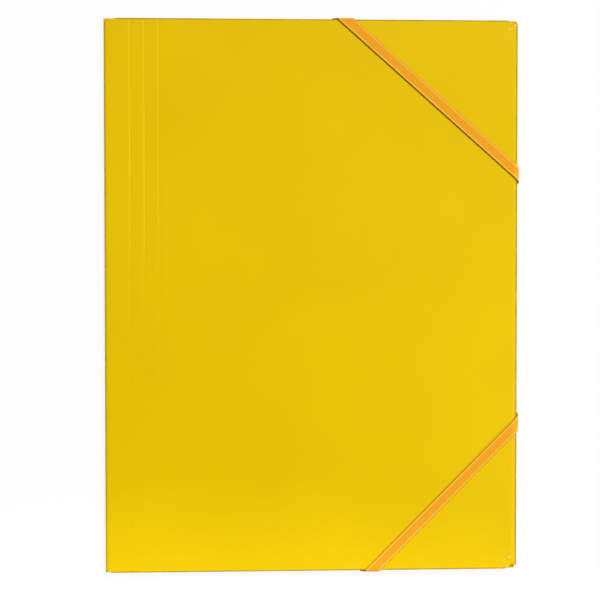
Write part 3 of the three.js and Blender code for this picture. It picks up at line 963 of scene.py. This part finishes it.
def rivet_material(rivets):
    """Plated metal, turned and lightly scratched."""
    material, tree, shader = new_material("plated rivet")
    place = tree.place()
    scratches = tree.noise(place, 1800.0, 4.0)
    tarnish = tree.remap(tree.noise(place, 260.0, 2.0), 0.35, 0.7, 0.0, 1.0)
    colour = tree.mix(tarnish, rivets.colour, shade(rivets.colour, 0.75))
    tree.fill(shader, {"Base Color": colour, "Metallic": 1.0,
                       "Roughness": tree.remap(scratches, 0.3, 0.7, 0.22, 0.42),
                       "Normal": tree.bump(scratches, 0.15, 0.02 * MM)})
    return material


def floor_material(studio):
    """Pale floor. The camera sees it nearly white, and a little of its shadow stays.

    It is clear from below and lets the lamp below it through.
    """
    material = bpy.data.materials.new("pale floor")
    material.use_nodes = True
    tree = Tree(material.node_tree)
    tree.nodes.clear()
    path = tree.add("LightPath").outputs
    below = tree.add("NewGeometry").outputs["Backfacing"]
    plain = tree.add("BsdfDiffuse", {"Color": studio.floor_colour})
    glow = tree.add("Emission", {"Color": WHITE})
    seen = tree.math("MULTIPLY", path["Is Camera Ray"], studio.floor_glow)
    unseen = tree.math("MAXIMUM", below, path["Is Shadow Ray"])
    pale = tree.mix_shaders(seen, plain, glow)
    sided = tree.mix_shaders(unseen, pale, tree.add("BsdfTransparent"))
    tree.add("OutputMaterial", {"Surface": sided.outputs[0]})
    return material


# The studio


def make_camera(studio):
    data = bpy.data.cameras.new("camera")
    data.sensor_width = 36
    data.lens = studio.lens
    camera = bpy.data.objects.new("camera", data)
    camera.location = studio.camera_place
    camera.rotation_euler = Euler(studio.camera_turn)
    bpy.context.scene.collection.objects.link(camera)
    bpy.context.scene.camera = camera


def place_lamp(data, place, target=(0, 0, 0)):
    """Puts a lamp at a place and turns it to its target."""
    lamp = bpy.data.objects.new(data.name, data)
    lamp.location = place
    lamp.rotation_euler = (Vector(target) - Vector(place)).to_track_quat("-Z", "Y").to_euler()
    bpy.context.scene.collection.objects.link(lamp)


def make_square_lamp(name, place, width, power):
    data = bpy.data.lights.new(name, "AREA")
    data.size = width
    data.energy = power
    place_lamp(data, place)


def make_lamps(studio):
    """A soft sun, a lamp on the right, one below, and a cone whose rim brightens the foot of the page."""
    key = bpy.data.lights.new("key lamp", "SUN")
    key.energy = studio.key_strength
    key.angle = math.radians(KEY_ANGLE)
    place_lamp(key, KEY_PLACE)
    make_square_lamp("right lamp", RIGHT_LAMP_PLACE, RIGHT_LAMP_WIDTH, studio.right_power)
    lower = bpy.data.lights.new("lower lamp", "SPOT")
    lower.energy = studio.lower_power
    lower.spot_size = math.radians(LOWER_LAMP_ANGLE)
    lower.spot_blend = LOWER_LAMP_BLEND
    lower.shadow_soft_size = LOWER_LAMP_RADIUS
    place_lamp(lower, LOWER_LAMP_PLACE, LOWER_LAMP_TARGET)
    make_square_lamp("under lamp", UNDER_LAMP_PLACE, UNDER_LAMP_WIDTH, studio.under_power)


def make_world():
    """A soft surround: dim overhead, brighter towards the horizon, dark below it, white to the camera."""
    world = bpy.data.worlds.new("surround")
    bpy.context.scene.world = world
    world.use_nodes = True
    tree = Tree(world.node_tree)
    tree.nodes.clear()
    height = tree.parts(tree.add("TexCoord").outputs["Generated"])["Z"]
    upper = tree.remap(height, 0.35, 0.9, 0.45, 0.02)
    above = tree.math("GREATER_THAN", height, 0.0)
    around = tree.add("Background", {"Strength": tree.math("MULTIPLY", upper, above)})
    seen = tree.add("Background", {"Color": WHITE})
    path = tree.add("LightPath").outputs
    mixed = tree.mix_shaders(path["Is Camera Ray"], around, seen)
    tree.add("OutputWorld", {"Surface": mixed.outputs[0]})


# Operators


class FOLDER_OT_studio(bpy.types.Operator):
    """Makes the camera, the floor, the lamps and the surround"""

    bl_idname = "folder.studio"
    bl_label = "Make Studio"

    def execute(self, context):
        studio = context.scene.folder_studio
        scene = context.scene
        scene.view_settings.view_transform = "Standard"
        make_camera(studio)
        make_world()
        half = studio.floor_size / 2
        corners = np.array([[-half, -half, 0], [half, -half, 0], [half, half, 0], [-half, half, 0]])
        floor = new_mesh("floor", [(corners, np.array([[0, 1, 2, 3]]))])
        floor.data.materials.append(floor_material(studio))
        make_lamps(studio)
        return {"FINISHED"}


class FOLDER_OT_cover(bpy.types.Operator):
    """Makes the folded board sheet that stands for the cover"""

    bl_idname = "folder.cover"
    bl_label = "Make Cover"

    def execute(self, context):
        cover = make_cover(context.scene.folder_board)
        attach(cover, BODY)
        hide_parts("folder_cover")
        return {"FINISHED"}


class FOLDER_OT_bands(bpy.types.Operator):
    """Makes the two elastic bands over the free corners"""

    bl_idname = "folder.bands"
    bl_label = "Make Bands"

    def execute(self, context):
        board = context.scene.folder_board
        bands = context.scene.folder_bands
        material = elastic_material(bands)
        places = rivet_places()
        lines = {
            "top": BandLine(board, bands, 1, bands.top_along, bands.top_down),
            "bottom": BandLine(board, bands, -1, bands.bottom_along, bands.bottom_up),
        }
        for name, line in lines.items():
            band = make_band("elastic_" + name, bands, line)
            near = [place for place in places.values() if place.y * line.side > 0]
            band.data.materials.append(material)
            cut_holes(band, near, board.hole_radius, -board.thickness, BACK_LOW)
            shade_smooth(band)
            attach(band, BODY)
            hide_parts("band_" + name)
        return {"FINISHED"}


class FOLDER_OT_rivets(bpy.types.Operator):
    """Makes the four hollow rivets that hold the bands' ends"""

    bl_idname = "folder.rivets"
    bl_label = "Make Rivets"

    def execute(self, context):
        rivets = context.scene.folder_rivets
        board = context.scene.folder_board
        material = rivet_material(rivets)
        for name, place in rivet_places().items():
            rivet = make_rivet("turned_" + name, rivets, board, place)
            rivet.data.materials.append(material)
            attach(rivet, BODY)
            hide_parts(name)
        return {"FINISHED"}


class FOLDER_PT_panel(bpy.types.Panel):
    """Lists the pieces of the elastic folder"""

    bl_label = "Elastic Folder"
    bl_idname = "FOLDER_PT_panel"
    bl_space_type = "VIEW_3D"
    bl_region_type = "UI"
    bl_category = "Folder"

    def draw(self, context):
        for operator in OPERATORS:
            self.layout.operator(operator.bl_idname)


GROUPS = {
    "folder_board": FolderBoardSettings,
    "folder_bands": FolderBandSettings,
    "folder_rivets": FolderRivetSettings,
    "folder_studio": FolderStudioSettings,
}
OPERATORS = (FOLDER_OT_studio, FOLDER_OT_cover, FOLDER_OT_bands, FOLDER_OT_rivets)


def register():
    for group in GROUPS.values():
        bpy.utils.register_class(group)
    for name, group in GROUPS.items():
        setattr(bpy.types.Scene, name, PointerProperty(type=group))
    for operator in OPERATORS:
        bpy.utils.register_class(operator)
    bpy.utils.register_class(FOLDER_PT_panel)


def unregister():
    bpy.utils.unregister_class(FOLDER_PT_panel)
    for operator in reversed(OPERATORS):
        bpy.utils.unregister_class(operator)
    for name in GROUPS:
        delattr(bpy.types.Scene, name)
    for group in reversed(GROUPS.values()):
        bpy.utils.unregister_class(group)


def main():
    register()
    bpy.ops.folder.studio()
    bpy.ops.folder.cover()
    bpy.ops.folder.bands()
    bpy.ops.folder.rivets()


if __name__ == "__main__":
    main()
